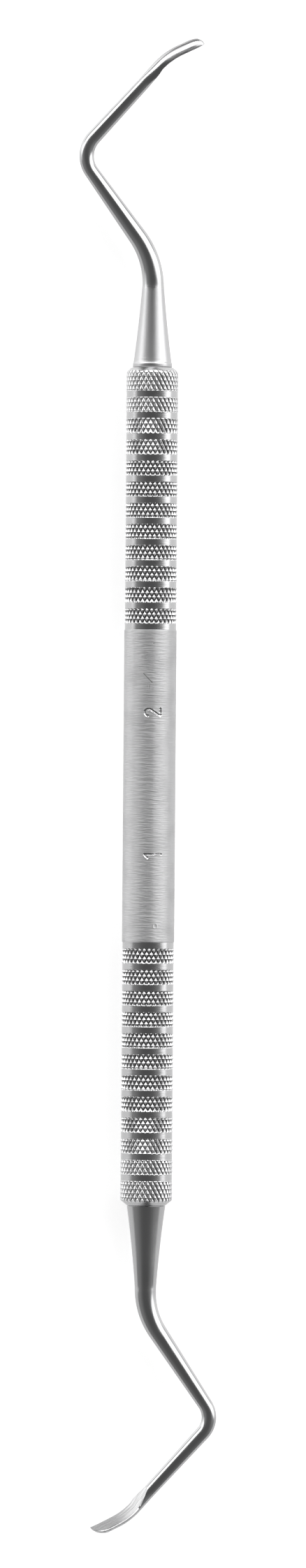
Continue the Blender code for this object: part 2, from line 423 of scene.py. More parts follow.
def tube_mesh(name, points, fold_in):
    """Returns a closed mesh of triangles over rows of points, of the shape (rows, columns, 3).

    Every row is a closed loop, and both end rows are closed by a fan to their middle.
    Rows go forward and columns turn so that columns x rows points outward. A quad is
    split from its first corner where fold_in, of the shape (rows - 1, columns), is true.
    """
    rows, columns = points.shape[:2]
    coords = with_middles(points) / MM
    row = np.arange(rows - 1)[:, None] * columns
    column = np.arange(columns)[None, :]
    after = (column + 1) % columns
    near = row + column
    near_after = row + after
    far = near + columns
    far_after = near_after + columns
    first = np.stack([near, near_after, np.where(fold_in, far_after, far)], axis=-1)
    second = np.stack([np.where(fold_in, near, near_after), far_after, far], axis=-1)
    start = np.full(columns, rows * columns)
    last = (rows - 1) * columns
    start_fan = np.stack([start, after[0], column[0]], axis=-1)
    end_fan = np.stack([start + 1, last + column[0], last + after[0]], axis=-1)
    faces = np.concatenate([first.reshape(-1, 3), second.reshape(-1, 3), start_fan, end_fan])
    mesh = bpy.data.meshes.new(name)
    mesh.vertices.add(len(coords))
    mesh.vertices.foreach_set("co", coords.ravel())
    mesh.loops.add(faces.size)
    mesh.loops.foreach_set("vertex_index", faces.ravel().astype(np.int32))
    mesh.polygons.add(len(faces))
    mesh.polygons.foreach_set("loop_start", np.arange(len(faces), dtype=np.int32) * 3)
    mesh.update(calc_edges=True)
    mesh.validate()
    return mesh


def add_attribute(mesh, name, values):
    """Stores one value per point, or one vector where values has a third dimension."""
    kind, field = ("FLOAT_VECTOR", "vector") if values.ndim == 3 else ("FLOAT", "value")
    attribute = mesh.attributes.new(name, kind, "POINT")
    attribute.data.foreach_set(field, with_middles(values).astype(np.float32).ravel())


def add_piece(name, mesh, smooth_degrees, material, node):
    """Puts a mesh in the scene as a piece that stands for a CAD node."""
    mesh.shade_smooth()
    mesh.set_sharp_from_angle(angle=math.radians(smooth_degrees))
    mesh.materials.append(material)
    piece = bpy.data.objects.new(name, mesh)
    bpy.context.scene.collection.objects.link(piece)
    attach(piece, "root")
    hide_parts(node)


def turned_points(angle, along, radius):
    """Returns points of a turned surface: x = r sin(angle), z = axis height + r cos(angle)."""
    x = radius * np.sin(angle)
    z = AXIS_HEIGHT + radius * np.cos(angle)
    return np.stack([x, np.broadcast_to(along, radius.shape), z], axis=-1)


def spaced(start, end, step):
    """Returns evenly spaced values from start to end, not further apart than step."""
    return np.linspace(start, end, max(2, int(math.ceil((end - start) / step)) + 1))


def merged(values, least):
    """Returns sorted values without those that follow another one by less than least."""
    values = np.unique(np.round(values, 6))
    keep = np.concatenate([[True], np.diff(values) > least])
    return values[keep]


def stroke_distance(across, along, strokes):
    """Returns the distance of each point from the nearest stroke."""
    nearest = np.full(across.shape, np.inf)
    for stroke in strokes:
        for (x0, y0), (x1, y1) in zip(stroke[:-1], stroke[1:]):
            length = (x1 - x0) ** 2 + (y1 - y0) ** 2
            share = ((across - x0) * (x1 - x0) + (along - y0) * (y1 - y0)) / length
            share = np.clip(share, 0.0, 1.0)
            gap = np.hypot(across - x0 - share * (x1 - x0), along - y0 - share * (y1 - y0))
            nearest = np.minimum(nearest, gap)
    return nearest


def bell(distance, width):
    """Returns exp(-(distance / width)^2), which is 1 at no distance."""
    return np.exp(-((distance / width) ** 2))


# Materials


def new_tree(name):
    """Returns a new material, its node tree and its shader."""
    material = bpy.data.materials.new(name)
    material.use_nodes = True
    tree = material.node_tree
    return material, tree, tree.nodes["Principled BSDF"]


def add_node(tree, kind, column, row, **settings):
    """Adds a node and sets its properties."""
    node = tree.nodes.new("ShaderNode" + kind)
    node.location = (column * 190.0, row * -220.0)
    for name, value in settings.items():
        setattr(node, name, value)
    return node


def feed(tree, value, socket):
    """Links an output to a socket, or sets the socket's value."""
    if isinstance(value, bpy.types.NodeSocket):
        tree.links.new(value, socket)
    else:
        socket.default_value = value


def place_on_piece(tree, column, row):
    """Returns the place on the piece in its object's coordinates, in metres."""
    return add_node(tree, "TexCoord", column, row).outputs["Object"]


def read_attribute(tree, name, column, row, output="Fac"):
    """Returns the value of the piece's attribute of this name, or its vector."""
    return add_node(tree, "Attribute", column, row, attribute_name=name).outputs[output]


def calculate(tree, operation, first, second, column, row):
    """Adds a math node and returns its output."""
    node = add_node(tree, "Math", column, row, operation=operation)
    feed(tree, first, node.inputs[0])
    feed(tree, second, node.inputs[1])
    return node.outputs[0]


def times(tree, first, second, column, row):
    """Multiplies two values."""
    return calculate(tree, "MULTIPLY", first, second, column, row)


def ramp(tree, value, low, high, to_low, to_high, column, row):
    """Adds a smooth step from to_low at low to to_high at high and returns its output."""
    node = add_node(tree, "MapRange", column, row, interpolation_type="SMOOTHSTEP")
    names = ("Value", "From Min", "From Max", "To Min", "To Max")
    for name, given in zip(names, (value, low, high, to_low, to_high)):
        feed(tree, given, node.inputs[name])
    return node.outputs["Result"]


def scaled(tree, vector, scale, column, row):
    """Multiplies a vector by three numbers."""
    node = add_node(tree, "VectorMath", column, row, operation="MULTIPLY")
    feed(tree, vector, node.inputs[0])
    node.inputs[1].default_value = scale
    return node.outputs["Vector"]


def noise(tree, vector, scale, detail, column, row):
    """Adds a noise texture and returns its value."""
    node = add_node(tree, "TexNoise", column, row)
    feed(tree, vector, node.inputs["Vector"])
    node.inputs["Scale"].default_value = scale
    node.inputs["Detail"].default_value = detail
    return node.outputs["Fac"]


def blended(tree, share, first, second, column, row):
    """Mixes two values by a share."""
    node = add_node(tree, "Mix", column, row, data_type="FLOAT")
    feed(tree, share, node.inputs[0])
    feed(tree, first, node.inputs[2])
    feed(tree, second, node.inputs[3])
    return node.outputs[0]


def shaded(tree, color, share, column, row):
    """Multiplies a colour by a share and returns the colour."""
    node = add_node(tree, "VectorMath", column, row, operation="SCALE")
    feed(tree, color, node.inputs[0])
    feed(tree, share, node.inputs["Scale"])
    return node.outputs["Vector"]


def bump(tree, height, strength, distance, column, row):
    """Adds a bump and returns its normal."""
    node = add_node(tree, "Bump", column, row)
    feed(tree, height, node.inputs["Height"])
    node.inputs["Strength"].default_value = strength
    node.inputs["Distance"].default_value = distance
    return node.outputs["Normal"]


def finish_steel(tree, shader, color, tint, roughness, normal):
    """Makes the shader steel: its colour times the tint, with this roughness and normal."""
    shader.inputs["Metallic"].default_value = 1.0
    feed(tree, shaded(tree, tuple(color), tint, -2, 2), shader.inputs["Base Color"])
    feed(tree, roughness, shader.inputs["Roughness"])
    feed(tree, normal, shader.inputs["Normal"])


def new_group(name, output):
    """Returns a node group from a vector to one value, and its sockets for the two."""
    group = bpy.data.node_groups.new(name, "ShaderNodeTree")
    group.interface.new_socket(name="Vector", in_out="INPUT", socket_type="NodeSocketVector")
    group.interface.new_socket(name=output, in_out="OUTPUT", socket_type="NodeSocketFloat")
    entry = group.nodes.new("NodeGroupInput")
    leave = group.nodes.new("NodeGroupOutput")
    leave.location = (1200.0, 0.0)
    return group, entry.outputs["Vector"], leave.inputs[output]


def turning_group():
    """Returns the group for turning marks: fine lines round the handle's axis."""
    known = bpy.data.node_groups.get("turning_marks")
    if known:
        return known
    group, place, height = new_group("turning_marks", "Height")
    fine = scaled(group, place, (900.0, 8000.0, 900.0), 1, 0)
    coarse = scaled(group, place, (700.0, 4500.0, 700.0), 1, 1)
    fine_lines = noise(group, fine, 1.0, 1.0, 2, 0)
    coarse_lines = noise(group, coarse, 1.0, 1.0, 2, 1)
    feed(group, blended(group, 0.6, fine_lines, coarse_lines, 3, 0), height)
    return group


def wear_group():
    """Returns the group for handling wear: faint cloudy patches from 0 to 1."""
    known = bpy.data.node_groups.get("handling_wear")
    if known:
        return known
    group, place, wear = new_group("handling_wear", "Wear")
    cloud = noise(group, place, 420.0, 4.0, 1, 0)
    feed(group, ramp(group, cloud, 0.38, 0.72, 0.0, 1.0, 2, 0), wear)
    return group


def use_group(tree, group, vector, column, row):
    """Adds a group node with its vector linked and returns its first output."""
    node = add_node(tree, "Group", column, row)
    node.node_tree = group
    feed(tree, vector, node.inputs[0])
    return node.outputs[0]


def satin_material(settings):
    """Returns satin steel with turning marks, darker in a mark and smoother in a stamp, and with
    a painted sheen: its colour is raised above the steel's.
    """
    material, tree, shader = new_tree("satin_turned_steel")
    place = place_on_piece(tree, -8, 0)
    lines = use_group(tree, turning_group(), place, -6, 0)
    wear = use_group(tree, wear_group(), place, -6, 2)
    dark = ramp(tree, read_attribute(tree, "mark", -6, 5), 0.1, 0.9, 1.0, MARK_TINT, -4, 5)
    # Painted sheen: the steel's colour is raised, a little less where worn, and is darker in a
    # mark
    tint = times(tree, ramp(tree, wear, 0.0, 1.0, *SATIN_SHEEN_TINTS, -4, 2), dark, -3, 2)
    rough = settings.satin_roughness
    satin = ramp(tree, wear, 0.0, 1.0, rough, rough + 0.03, -4, 3)
    rough = blended(tree, read_attribute(tree, "stamp", -6, 4), satin, STAMP_ROUGHNESS, -3, 4)
    normal = bump(tree, lines, 1.0, 0.00009, -2, 4)
    finish_steel(tree, shader, settings.handle_color, tint, rough, normal)
    shader.inputs["Anisotropic"].default_value = 1.0
    shader.inputs["Anisotropic Rotation"].default_value = 0.25
    tangent = add_node(tree, "Tangent", -2, 5, direction_type="RADIAL", axis="Y")
    feed(tree, tangent.outputs["Tangent"], shader.inputs["Tangent"])
    return material


def knurl_material(settings):
    """Returns polished steel with a painted highlight on the knurl's flanks and painted shade in
    its grooves.
    """
    material, tree, shader = new_tree("polished_knurl_steel")
    place = place_on_piece(tree, -8, 0)
    lines = use_group(tree, turning_group(), place, -6, 0)
    wear = use_group(tree, wear_group(), place, -6, 2)
    hollow = read_attribute(tree, "hollow", -6, 3)
    # Painted sheen on the tops and bands, rising to a painted highlight on the flanks
    painted_highlight = ramp(tree, hollow, 0.05, 0.2, KNURL_TOP_SHEEN, KNURL_FLANK_HIGHLIGHT, -5, 3)
    # Painted shade: the grooves are darkened toward their bottoms
    painted_groove_shade = ramp(tree, hollow, 0.45, 0.95, 1.0, GROOVE_SHADE_TINT, -5, 4)
    tint = times(tree, painted_highlight, painted_groove_shade, -4, 3)
    rough = settings.polish_roughness
    grain = ramp(tree, hollow, 0.1, 1.0, rough, rough + 0.16, -4, 4)
    rough = calculate(tree, "ADD", grain, times(tree, wear, 0.05, -4, 5), -2, 4)
    normal = bump(tree, lines, 0.6, 0.00001, -2, 6)
    finish_steel(tree, shader, settings.handle_color, tint, rough, normal)
    return material


def tip_material(settings):
    """Returns polished steel with a satin cone and a ground face where the marks say so.

    The grain is the place along the tip, across it and up, in millimetres. The face has
    streaks along the blade, and the cone has lines round it.
    """
    material, tree, shader = new_tree("polished_tip_steel")
    grain = read_attribute(tree, "grain", -9, 0, "Vector")
    ground = read_attribute(tree, "ground", -9, 1)
    satin = read_attribute(tree, "satin", -9, 2)
    wear = use_group(tree, wear_group(), place_on_piece(tree, -9, 3), -7, 3)
    streaks = noise(tree, scaled(tree, grain, (0.4, 8.0, 1.0), -7, 0), 1.0, 2.0, -6, 0)
    turned = noise(tree, scaled(tree, grain, (24.0, 0.3, 0.3), -7, 1), 1.0, 3.0, -6, 1)
    tint = ramp(tree, streaks, 0.35, 0.65, *STREAK_TINTS, -4, 7)
    tint = blended(tree, ground, 1.0, tint, -3, 7)
    rough = settings.polish_roughness - 0.02
    smooth = ramp(tree, wear, 0.0, 1.0, rough, rough + 0.05, -4, 3)
    face = ramp(tree, streaks, 0.35, 0.65, *STREAK_ROUGHNESSES, -4, 0)
    rough = blended(tree, ground, smooth, face, -3, 1)
    rough = blended(tree, satin, rough, CONE_ROUGHNESS, -2, 1)
    streak_height = times(tree, streaks, ground, -4, 5)
    turned_height = times(tree, turned, satin, -4, 6)
    height = calculate(tree, "ADD", streak_height, turned_height, -3, 5)
    normal = bump(tree, height, 1.0, 0.00001, -2, 5)
    finish_steel(tree, shader, settings.tip_color, tint, rough, normal)
    return material


# Handle


def middle_rows():
    """Returns the rows of the plain middle along Y, close together at its marks."""
    half = MIDDLE_LENGTH / 2
    edge = np.array(MIDDLE_EDGE_ROWS)
    rows = [spaced(-half, half, ROW_STEP), edge - half, half - edge]
    for start, end in CLOSE_ROWS:
        rows.append(spaced(start, end, CLOSE_ROW_STEP))
    return merged(np.concatenate(rows), LEAST_MIDDLE_GAP)


def middle_columns():
    """Returns the angles of the middle's columns, close together where the digits are."""
    start, end = CLOSE_COLUMNS
    close = spaced(start, end, CLOSE_COLUMN_STEP)
    wide = spaced(end, 2 * math.pi + start, COLUMN_STEP)[1:-1]
    return np.concatenate([close, wide])


def middle_relief(across, along, depth):
    """Returns the height of the marks over the middle, and how stamped and marked it is.

    A digit's stroke is a groove of the form -depth (1 - (d / r)^2) with a low lip at its
    side. The scratch, a pit and the dent are bells exp(-(d / w)^2), and the dent has a rim.
    """
    relief = np.zeros(across.shape)
    stamped = np.zeros(across.shape)
    for strokes in (DIGIT_TWO, DIGIT_ONE):
        distance = stroke_distance(across, along, strokes)
        groove = depth * np.clip(1 - (distance / STROKE_RADIUS) ** 2, 0.0, 1.0)
        lip = STROKE_LIP_HEIGHT * depth * bell(distance - STROKE_LIP, STROKE_LIP_WIDTH)
        relief += lip - groove
        finish = np.clip((STROKE_FINISH - distance) / STROKE_FINISH_FADE, 0.0, 1.0)
        stamped = np.maximum(stamped, finish)
    scratch = stroke_distance(across, along, (SCRATCH,))
    relief -= SCRATCH_DEPTH * bell(scratch, SCRATCH_WIDTH)
    marked = bell(scratch, SCRATCH_SHADE_WIDTH)
    for x, y in PITS:
        pit = np.exp(-((across - x) ** 2 + (along - y) ** 2) / PIT_WIDTH**2)
        relief -= PIT_DEPTH * pit
        marked = np.maximum(marked, pit)
    dent = np.hypot(across - DENT[0], (along - DENT[1]) * DENT_ALONG_SCALE)
    rim = DENT_RIM_HEIGHT * bell(dent - DENT_RIM, DENT_RIM_WIDTH)
    relief += rim - DENT_DEPTH * bell(dent, DENT_WIDTH)
    return relief, stamped, marked


def model_middle(settings):
    """Turns the plain middle: its radius is the bar's, less the edge's slope, plus the marks."""
    along = middle_rows()[:, None]
    angle = middle_columns()[None, :]
    from_end = MIDDLE_LENGTH / 2 - np.abs(along)
    edge = settings.band_depth * MM * np.clip(1 - from_end / MIDDLE_EDGE, 0.0, 1.0) ** 2
    signed = (angle + math.pi) % (2 * math.pi) - math.pi
    across, along_all = np.broadcast_arrays(signed * AXIS_HEIGHT, along)
    marks = middle_relief(across, along_all, settings.stamp_depth * MM)
    relief, stamped, marked = np.where(np.abs(across) < MARK_REACH, marks, 0.0)
    points = turned_points(angle, along, AXIS_HEIGHT - edge + relief)
    fold_in = np.ones((points.shape[0] - 1, points.shape[1]), dtype=bool)
    mesh = tube_mesh("handle_middle", points, fold_in)
    add_attribute(mesh, "stamp", stamped)
    add_attribute(mesh, "mark", marked)
    add_piece("handle_middle", mesh, 40.0, satin_material(settings), "handle")


def grip_rings():
    """Returns the rings of one grip as pairs of distances from the middle's edge."""
    rings = []
    distance = 0.0
    for index in range(RING_COUNT):
        distance += BAND_WIDTH
        width = END_RING_WIDTH if index == RING_COUNT - 1 else RING_WIDTH
        rings.append((distance, distance + width))
        distance += width
    return rings


def grip_rows(end, rings):
    """Returns the grip's rows as distances from the middle's edge.

    The rows of the knurl's lattice stand at fixed heights along Y, so the pattern goes on
    from ring to ring, and every ring has rows of its own at its edges.
    """
    step = HALF_DIAMOND * 2 / DIAMOND_CELLS
    phase = LATTICE_PHASES[end]
    first = math.ceil((MIDDLE_LENGTH / 2 - phase) / step)
    last = math.floor((MIDDLE_LENGTH / 2 + GRIP_LENGTH - phase) / step)
    lattice = np.arange(first, last + 1) * step + phase - MIDDLE_LENGTH / 2
    slope = RING_EDGE * np.array([-0.25, 0.0, 0.5, 1.0])
    edges = [0.0, BAND_WIDTH / 2]
    inside = np.zeros(lattice.shape, dtype=bool)
    for start, stop in rings:
        edges += [*(start + slope), *(stop - slope)]
        inside |= (lattice > start + LATTICE_MARGIN) & (lattice < stop - LATTICE_MARGIN)
    edges = np.array([edge for edge in edges if edge < GRIP_LENGTH - GRIP_END_START])
    tail = GRIP_LENGTH + np.array([*GRIP_END_ROWS, *(place for place, _ in GRIP_ENDS[end])])
    return merged(np.concatenate([lattice[inside], edges, tail]), LEAST_ROW_GAP)


def grip_steps(distance, rings):
    """Returns how sunk the bar is for its bands and how strong the knurl is, from 0 to 1.

    A band is sunk by 1, and a ring's edge slopes up from it evenly over RING_EDGE, while
    the knurl sets in evenly over KNURL_EDGE. Past the last ring comes the end, no band.
    """
    sunk = np.ones(distance.shape)
    strength = np.zeros(distance.shape)
    for start, stop in rings:
        inner = distance - start
        if (start, stop) != rings[-1]:
            inner = np.minimum(inner, stop - distance)
        sunk = np.where(inner >= 0, np.clip(1 - inner / RING_EDGE, 0.0, 1.0), sunk)
        strength = np.maximum(strength, np.clip(inner / KNURL_EDGE, 0.0, 1.0))
    return sunk, strength


def knurl_shape(end, along, angle, distance):
    """Returns the knurl's depth as a share: a groove along each line of two slanting families.

    The families are s + y / 2b and s - y / 2b, with s in diamonds round the handle and b
    half of a diamond's height. A point's share is 1 on a groove's line and falls evenly to
    0 in the middle between two lines. Near the handle's middle the depth goes by the
    greater of both shares, which makes plain pyramids. Toward the handle's end it turns
    evenly into the deeper of two worn grooves, which leave flat and low diamonds.
    """
    around = angle * DIAMONDS / (2 * math.pi)
    forward = (along - LATTICE_PHASES[end] * SIDES[end]) / (2 * HALF_DIAMOND)
    first = np.abs(((around + forward) % 1.0) * 2 - 1)
    second = np.abs(((around - forward) % 1.0) * 2 - 1)
    pyramid = PYRAMID_DEPTH * np.maximum(np.maximum(first, second), PYRAMID_TOP)
    worn = np.maximum(np.interp(first, *WORN_FORWARD), np.interp(second, *WORN_BACKWARD))
    return pyramid + (worn - pyramid) * np.interp(distance, WEAR_REACH, (0.0, 1.0))


def model_grip(end, settings):
    """Turns one grip: knurled rings between polished bands, an end bevel and a blind bore.

    Its radius is the bar's, less the deepest of the band, the knurl and the bevel. The
    rows go out over the bevel and back in along the bore. Each quad is split along its
    lower diagonal, so that the grooves stay sharp.
    """
    rings = grip_rings()
    distance = grip_rows(end, rings)[:, None]
    columns = DIAMONDS * DIAMOND_CELLS
    angle = (np.arange(columns) * 2 * math.pi / columns + KNURL_TURN)[None, :]
    side = SIDES[end]
    along = side * (MIDDLE_LENGTH / 2 + distance)
    sunk, strength = grip_steps(distance, rings)
    past = distance - GRIP_LENGTH
    bevel = np.interp(past, *zip(*GRIP_ENDS[end]), left=0.0)
    knurl_depth = settings.knurl_depth * MM
    knurl = knurl_depth * knurl_shape(end, along, angle - KNURL_TURN, distance)
    knurl = np.where(past > KNURL_STOP, 0.0, knurl) * strength
    depth = np.maximum(np.maximum(settings.band_depth * MM * sunk, knurl), bevel)
    deepest = knurl_depth * np.interp(distance, WEAR_REACH, (PYRAMID_DEPTH, WORN_DEPTH))

    bore = [[side * SEATS[end]], [side * (SEATS[end] - BORE_DEPTH)]]
    along = np.concatenate([along, bore])
    radius = np.concatenate([AXIS_HEIGHT - depth, np.full((len(bore), columns), BORE_RADIUS)])
    hollow = np.clip(knurl / deepest, 0.0, 1.0)
    hollow = np.concatenate([hollow, np.zeros((len(bore), columns))])
    if side < 0:
        along, radius, hollow = along[::-1], radius[::-1], hollow[::-1]
    after = np.roll(radius, -1, axis=1)
    fold_in = radius[:-1] + after[1:] <= after[:-1] + radius[1:]
    name = "handle_grip_%d" % end
    mesh = tube_mesh(name, turned_points(angle, along, radius), fold_in)
    add_attribute(mesh, "hollow", hollow)
    material = bpy.data.materials.get("polished_knurl_steel") or knurl_material(settings)
    add_piece(name, mesh, 14.0, material, "handle")


# Tips


def shift(x, y, z):
    """Returns a 4 x 4 shift."""
    matrix = np.eye(4)
    matrix[:3, 3] = (x, y, z)
    return matrix


def turn(degrees, axis):
    """Returns a 4 x 4 rotation about x (axis 0) or z (axis 2)."""
    angle = math.radians(degrees)
    first, second = {0: (1, 2), 2: (0, 1)}[axis]
    matrix = np.eye(4)
    matrix[first, first] = matrix[second, second] = math.cos(angle)
    matrix[first, second] = -math.sin(angle)
    matrix[second, first] = math.sin(angle)
    return matrix


class Walk:
    """Carries a place along a tip's centreline and keeps a section at each stop.

    The place's x runs across the tip, y to the inside of the elbow, and z forward. Every
    section is turned about z by the tilt, as the blade is, so that the columns run on
    without a twist.
    """

    def __init__(self, tilt):
        self.place = np.eye(4)
        self.tilt = turn(tilt, 2)
        self.travel = 0.0
        self.places = []
        self.sections = []
        self.travels = []

    def straight(self, length):
        """Goes straight on."""
        self.place = self.place @ shift(0.0, 0.0, length)
        self.travel += length

    def bend(self, radius, degrees):
        """Turns towards y, or away from it where degrees is negative."""
        centre = math.copysign(radius, degrees)
        self.place = self.place @ shift(0, centre, 0) @ turn(-degrees, 0) @ shift(0, -centre, 0)
        self.travel += radius * math.radians(abs(degrees))

    def face_up(self):
        """Turns the place so that y is square to the blade's face from here on."""
        self.place = self.place @ self.tilt
        self.tilt = np.eye(4)

    def keep(self, half, back, front, cut, across=0.0, height=FACE_HEIGHT):
        """Keeps a section here, with what section_points takes."""
        self.places.append(self.place @ self.tilt)
        self.sections.append((half, back, front, cut, across, height))
        self.travels.append(self.travel)

    def keep_round(self, radius):
        """Keeps a round section here."""
        self.keep(radius, radius, radius, radius, height=0.0)

    def round_straight(self, length, start_radius, end_radius):
        """Goes straight on, with round sections from the start's radius evenly to the end's."""
        for step in range(1, STRAIGHT_STEPS + 1):
            self.straight(length / STRAIGHT_STEPS)
            self.keep_round(start_radius + (end_radius - start_radius) * step / STRAIGHT_STEPS)

    def round_bend(self, radius, degrees, start_radius, end_radius):
        """Turns, with round sections from the start's radius evenly to the end's."""
        for step in range(1, BEND_STEPS + 1):
            self.bend(radius, degrees / BEND_STEPS)
            self.keep_round(start_radius + (end_radius - start_radius) * step / BEND_STEPS)


def eased(share):
    """Returns a share that starts and ends gently."""
    return share * share * (3 - 2 * share)


def walk_shank(walk, tip):
    """Lays the tang, the cone, the first bend, the leg, the elbow and the reach.

    The cone's radius is end + slope t + bow t^2, with t falling evenly from 1 at the seat to
    0 at CONE_CURVE_LENGTH. Its foot goes through points instead.
    """
    walk.straight(-TANG_LENGTH)
    walk.keep_round(TANG_RADIUS)
    walk.straight(TANG_LENGTH)
    walk.keep_round(TANG_RADIUS)
    walk.travel = 0.0
    end_radius, slope, bow = tip["curve"]
    foot_places, foot_radii = zip(*tip["foot"])
    close_stops = [0.0, 0.02, 0.05, 0.08, *np.linspace(0.1, 1.1, 26)]
    for distance in [*close_stops, *np.linspace(1.3, tip["cone"], 40)]:
        walk.straight(distance - walk.travel)
        left = max(1 - distance / CONE_CURVE_LENGTH, 0.0)
        radius = end_radius + slope * left + bow * left**2
        if distance <= foot_places[-1]:
            radius = float(np.interp(distance, foot_places, foot_radii))
        walk.keep_round(radius)
    walk.round_bend(tip["bend_radius"], -tip["bend"], end_radius, LEG_START_RADIUS)
    walk.round_straight(tip["leg"], LEG_START_RADIUS, ELBOW_RADIUS)
    walk.round_bend(tip["elbow_radius"], tip["elbow"], ELBOW_RADIUS, ELBOW_RADIUS)
    walk.round_straight(tip["reach"], ELBOW_RADIUS, REACH_END_RADIUS)


def walk_blade(walk, tip):
    """Grinds the face in over the runout, curls the blade and closes its toe.

    Over the runout the width, the back's depth and the height ease from the reach to the
    blade, and the cut falls evenly to 0. The toe narrows as (1 - s^n)^(1/n), with s from 0
    to 1 along its rounding and n its fullness, and moves over towards its skewed point.
    """
    walk.face_up()
    half = BLADE_WIDTH / 2
    depth = tip["depth"]
    for step in range(1, BLADE_STEPS + 1):
        share = step / BLADE_STEPS
        walk.straight(FACE_RUNOUT / BLADE_STEPS)
        walk.keep(
            REACH_END_RADIUS + (half - REACH_END_RADIUS) * eased(share),
            REACH_END_RADIUS + (depth - REACH_END_RADIUS) * eased(share),
            REACH_END_RADIUS,
            REACH_END_RADIUS * FACE_START_SHARE * (1 - share),
            height=FACE_HEIGHT * eased(share),
        )
    for _ in range(BLADE_STEPS):
        walk.bend(tip["curl_radius"], tip["curl"] / BLADE_STEPS)
        walk.keep(half, depth, REACH_END_RADIUS, 0.0)
    walk.straight(TOE_LENGTH - TOE_ROUNDING)
    corner = math.copysign(half, tip["tilt"]) * tip["toe_skew"]
    reached = 0.0
    for share in np.sin(np.linspace(0.0, math.pi / 2, BLADE_STEPS + 1)[:-1]):
        walk.straight((share - reached) * TOE_ROUNDING)
        reached = share
        left = (1 - share ** tip["toe_fullness"]) ** (1 / tip["toe_fullness"])
        walk.keep(half * left, depth * left, REACH_END_RADIUS, 0.0, across=corner * (1 - left))
    walk.straight((1 - reached) * TOE_ROUNDING)
    walk.keep(POINT_RADIUS, POINT_RADIUS, POINT_RADIUS, 0.0, across=corner)


def section_points(sections):
    """Returns sections as points (x, y), anticlockwise, of the shape (sections, points, 2).

    A section is (half, back, front, cut, across, height): an ellipse of its half width,
    with its own depth behind and in front, moved by across and height. What is in front
    of cut is ground flat: y = min(front sin(a), cut). A ground face has a bevel of
    FACE_EDGE, which drops evenly over the outer RIM_SHARE at both sides and grows as the
    cut falls to 0. Columns are spread so that the same number lies on the face, whatever
    the cut.
    """
    half, back, front, cut, across, height = (sections[:, [k]] for k in range(6))
    edge = FACE_EDGE * np.clip(1 - cut / front, 0.0, 1.0)
    fold = np.arcsin(np.clip((cut - edge) / front, -1.0, 1.0))
    fold = np.where(cut >= front, PLAIN_FOLD, fold)
    arc_points = SECTION_POINTS - FACE_POINTS
    share = (np.arange(FACE_POINTS) / FACE_POINTS)[None, :]
    start_x, end_x = half * np.cos(fold), -half * np.cos(fold)
    face_x = start_x + (end_x - start_x) * share
    whole = front * np.sqrt(np.clip(1 - (face_x / half) ** 2, 0.0, 1.0))
    from_middle = np.abs(face_x) / np.maximum(start_x, 1e-6)
    rim = np.clip((from_middle - (1 - RIM_SHARE)) / RIM_SHARE, 0.0, 1.0)
    face_y = np.where(cut >= front, whole, np.minimum(whole, cut) - edge * rim)
    angle = math.pi - fold + (math.pi + 2 * fold) * (np.arange(arc_points) / arc_points)[None, :]
    arc_x = half * np.cos(angle)
    arc_y = np.where(np.sin(angle) > 0, front, back) * np.sin(angle)
    x = np.concatenate([face_x, arc_x], axis=1) + across
    y = np.concatenate([face_y, arc_y], axis=1) + height
    return np.stack([x, y], axis=-1)


def tip_finish(travel, on_face, satin):
    """Returns how ground and how satin each point is, both from 0 to 1.

    The blade's face is ground, and so is the rest of the blade in part. The satin stretch
    starts at the seat, and its end, fade and share come with the tip.
    """
    blade = np.clip((travel - travel.max() + GROUND_LENGTH) / GROUND_FADE, 0.0, 1.0)
    satin_end, satin_fade, satin_share = satin
    start = np.clip((travel + SEAT_FADE) / SEAT_FADE, 0.0, 1.0)
    cone = start * np.clip((satin_end - travel) / satin_fade, 0.0, 1.0)
    return np.maximum(on_face, GROUND_BACK * blade), cone * satin_share


def model_tip(end, settings):
    """Lofts one tip through its sections and seats it on its end of the handle.

    A section's point (x, y, 0) is carried to its place on the walk by that place's matrix.
    The walk's x is the scene's Z, its y the scene's X and its z the scene's Y, and tip 1
    is turned half round.
    """
    tip = TIPS[end]
    walk = Walk(tip["tilt"])
    walk_shank(walk, tip)
    walk_blade(walk, tip)
    sections = np.array(walk.sections)
    flat = section_points(sections)
    rows, columns = flat.shape[:2]
    ones = np.ones((rows, columns, 1))
    local = np.concatenate([flat, 0 * ones, ones], axis=-1)
    carried = np.einsum("rij,rcj->rci", np.array(walk.places), local)[..., :3]
    side = SIDES[end]
    seat = side * (SEATS[end] + SHOULDER_GAP)
    points = np.stack(
        [side * carried[..., 1], seat + side * carried[..., 2], AXIS_HEIGHT + carried[..., 0]],
        axis=-1,
    )
    name = "tip_%d_steel" % end
    mesh = tube_mesh(name, points, np.ones((rows - 1, columns), dtype=bool))
    travel = np.array(walk.travels)[:, None] + np.zeros((1, columns))
    add_attribute(mesh, "grain", np.concatenate([travel[..., None], flat], axis=-1))
    on_face = (np.arange(columns) <= FACE_POINTS)[None, :] & (sections[:, [3]] < sections[:, [2]])
    ground, satin = tip_finish(travel, on_face, tip["satin"])
    add_attribute(mesh, "ground", ground)
    add_attribute(mesh, "satin", satin)
    material = bpy.data.materials.get("polished_tip_steel") or tip_material(settings)
    add_piece(name, mesh, 30.0, material, "tip_%d" % end)


# Stage. A direction's x goes to the right, y toward tip 2 and z up, each from -1 to 1.


